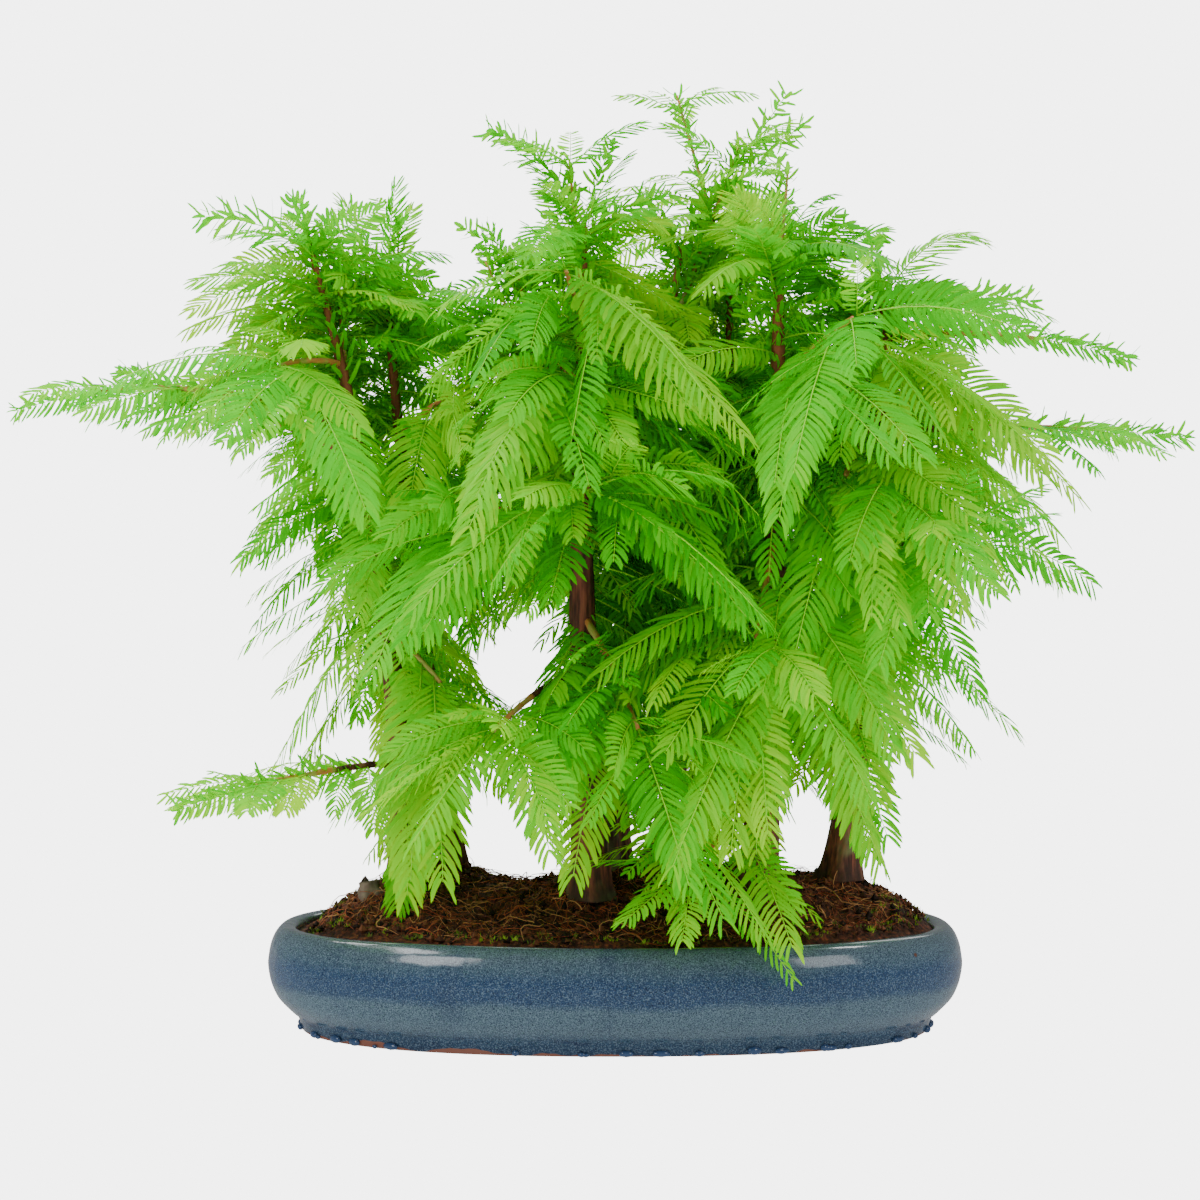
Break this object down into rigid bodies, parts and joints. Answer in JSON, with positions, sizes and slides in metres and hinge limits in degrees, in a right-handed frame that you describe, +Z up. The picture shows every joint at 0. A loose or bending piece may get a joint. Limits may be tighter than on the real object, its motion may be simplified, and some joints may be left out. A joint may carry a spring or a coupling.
{
  "type": "dawn redwood bonsai forest",
  "caption": "Forest-style dawn redwood bonsai: slender stems with feathery drooping needle sprays, growing from a mound of soil in an oval blue-glazed stoneware pot.",
  "frame": {"origin": "centre of the pot's flat underside", "axes": "+Z up, +X along the pot's length to the right as seen from the front, +Y to the back, so the front faces -Y"},
  "size_m": [0.6101, 0.375, 0.4983],
  "materials": {
    "glaze": "glossy speckled slate-blue glaze over stoneware, thin and brown at the foot",
    "soil": "rough dark potting soil with reddish rootlets",
    "bark": "matte reddish-brown bark with upright strips",
    "foliage": "soft bright green needle leaves with a slight sheen"
  },
  "bodies": {
    "root": {"pot": "glaze", "soil": "soil", "trunk_left": "bark", "trunk_left_back": "bark", "trunk_front": "bark", "trunk_centre": "bark", "trunk_back": "bark", "trunk_far": "bark", "trunk_right_front": "bark", "trunk_right": "bark", "bough_far_left": "bark", "bough_mid_left": "bark", "bough_reach_left": "bark", "bough_front_left": "bark", "bough_centre_front": "bark", "bough_right_long": "bark", "bough_right_upper": "bark", "foliage_far_left": "foliage", "foliage_mid_left": "foliage", "foliage_top_left": "foliage", "foliage_side_left": "foliage", "foliage_left_bright": "foliage", "foliage_reach_left": "foliage", "foliage_hang_left": "foliage", "foliage_droop_left": "foliage", "foliage_inner_left": "foliage", "foliage_rear_left": "foliage", "foliage_crest_left": "foliage", "foliage_low_rear_left": "foliage", "foliage_front_left": "foliage", "foliage_front_wide": "foliage", "foliage_front_full": "foliage", "foliage_front_hang": "foliage", "foliage_front_low": "foliage", "foliage_front_high": "foliage", "foliage_front_crest": "foliage", "foliage_centre_front": "foliage", "foliage_centre_crest": "foliage", "foliage_mid_front": "foliage", "foliage_mid_hang": "foliage", "foliage_mid_low": "foliage", "foliage_lowest": "foliage", "foliage_mid_high": "foliage", "foliage_mid_crest": "foliage", "foliage_tall_shoot": "foliage", "foliage_far_shoot": "foliage", "foliage_rear_full": "foliage", "foliage_rear_right": "foliage", "foliage_rear_high": "foliage", "foliage_rear_low": "foliage", "foliage_right_long": "foliage", "foliage_right_upper": "foliage", "foliage_right_crest": "foliage", "foliage_right_mid": "foliage", "foliage_right_low": "foliage", "foliage_right_hang": "foliage", "foliage_right_front": "foliage", "foliage_right_bright": "foliage", "foliage_right_crown": "foliage", "foliage_right_rear": "foliage"}
  },
  "joints": []
}
